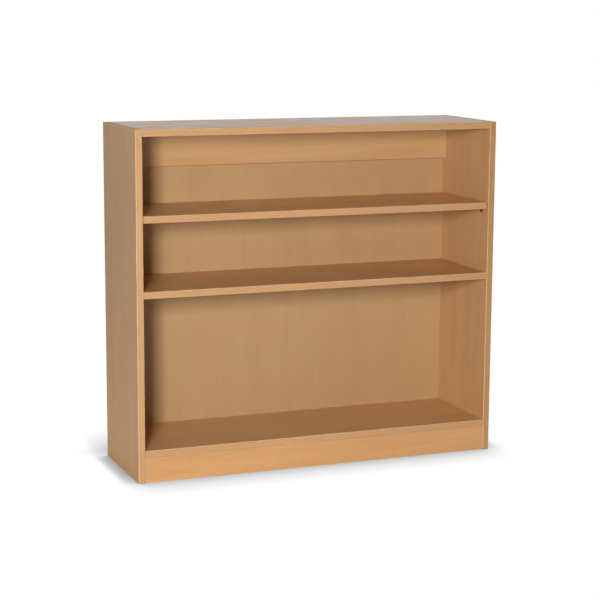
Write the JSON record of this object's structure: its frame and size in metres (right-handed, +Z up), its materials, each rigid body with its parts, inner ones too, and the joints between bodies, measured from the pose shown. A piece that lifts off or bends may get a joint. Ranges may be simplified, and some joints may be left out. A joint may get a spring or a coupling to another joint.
{
  "type": "bookcase",
  "caption": "Low open-fronted bookcase in beech-effect board: fixed shelf, adjustable shelf on plug-in supports, recessed back, back rail and plinth.",
  "frame": {"origin": "on the floor, under the middle of the case", "axes": "+X to the right seen from the open front, +Y to the back, +Z up"},
  "size_m": [1, 0.3, 0.9],
  "materials": {
    "beech_board": "satin melamine",
    "beech_edging": "satin",
    "back_board": "satin print",
    "support_plastic": "matt",
    "zinc": "dull cast",
    "steel": "zinc plated",
    "dowel_wood": "raw beech"
  },
  "bodies": {
    "carcass": {"back_panel": "back_board", "back_panel_screws": "steel", "back_rail_cam_bolts": "steel", "back_rail_cam_locks": "zinc", "back_rail_dowels": "dowel_wood", "back_rail_lower_edging": "beech_edging", "base_cam_bolts": "steel", "base_cam_locks": "zinc", "base_dowels": "dowel_wood", "base_front_edging": "beech_edging", "base_panel": "beech_board", "fixed_shelf": "beech_board", "fixed_shelf_cam_bolts": "steel", "fixed_shelf_cam_locks": "zinc", "fixed_shelf_dowels": "dowel_wood", "fixed_shelf_front_edging": "beech_edging", "front_plinth": "beech_board", "front_plinth_cam_bolts": "steel", "front_plinth_cam_locks": "zinc", "front_plinth_dowels": "dowel_wood", "left_side_front_edging": "beech_edging", "left_side_panel": "beech_board", "left_side_rear_edging": "beech_edging", "left_side_top_edging": "beech_edging", "rear_plinth": "beech_board", "rear_plinth_cam_bolts": "steel", "rear_plinth_cam_locks": "zinc", "rear_plinth_dowels": "dowel_wood", "right_side_front_edging": "beech_edging", "right_side_panel": "beech_board", "right_side_rear_edging": "beech_edging", "right_side_top_edging": "beech_edging", "top_back_rail": "beech_board", "top_cam_bolts": "steel", "top_cam_locks": "zinc", "top_dowels": "dowel_wood", "top_front_edging": "beech_edging", "top_panel": "beech_board", "top_rear_edging": "beech_edging"},
    "adjustable_shelf": {"adjustable_shelf": "beech_board", "adjustable_shelf_front_edging": "beech_edging", "adjustable_shelf_left_edging": "beech_edging", "adjustable_shelf_rear_edging": "beech_edging", "adjustable_shelf_right_edging": "beech_edging"},
    "shelf_support_front_left": {"shelf_support_front_left": "support_plastic"},
    "shelf_support_front_right": {"shelf_support_front_right": "support_plastic"},
    "shelf_support_rear_left": {"shelf_support_rear_left": "support_plastic"},
    "shelf_support_rear_right": {"shelf_support_rear_right": "support_plastic"}
  },
  "joints": [
    {"name": "shelf_pull_out", "type": "slide", "parent": "carcass", "child": "adjustable_shelf", "axis": [0, -1, 0], "range_m": [0, 0.3]},
    {"name": "shelf_support_front_left_unplug", "type": "slide", "parent": "carcass", "child": "shelf_support_front_left", "axis": [1, 0, 0], "range_m": [0, 0.012]},
    {"name": "shelf_support_front_right_unplug", "type": "slide", "parent": "carcass", "child": "shelf_support_front_right", "axis": [-1, 0, 0], "range_m": [0, 0.012]},
    {"name": "shelf_support_rear_left_unplug", "type": "slide", "parent": "carcass", "child": "shelf_support_rear_left", "axis": [1, 0, 0], "range_m": [0, 0.012]},
    {"name": "shelf_support_rear_right_unplug", "type": "slide", "parent": "carcass", "child": "shelf_support_rear_right", "axis": [-1, 0, 0], "range_m": [0, 0.012]}
  ]
}
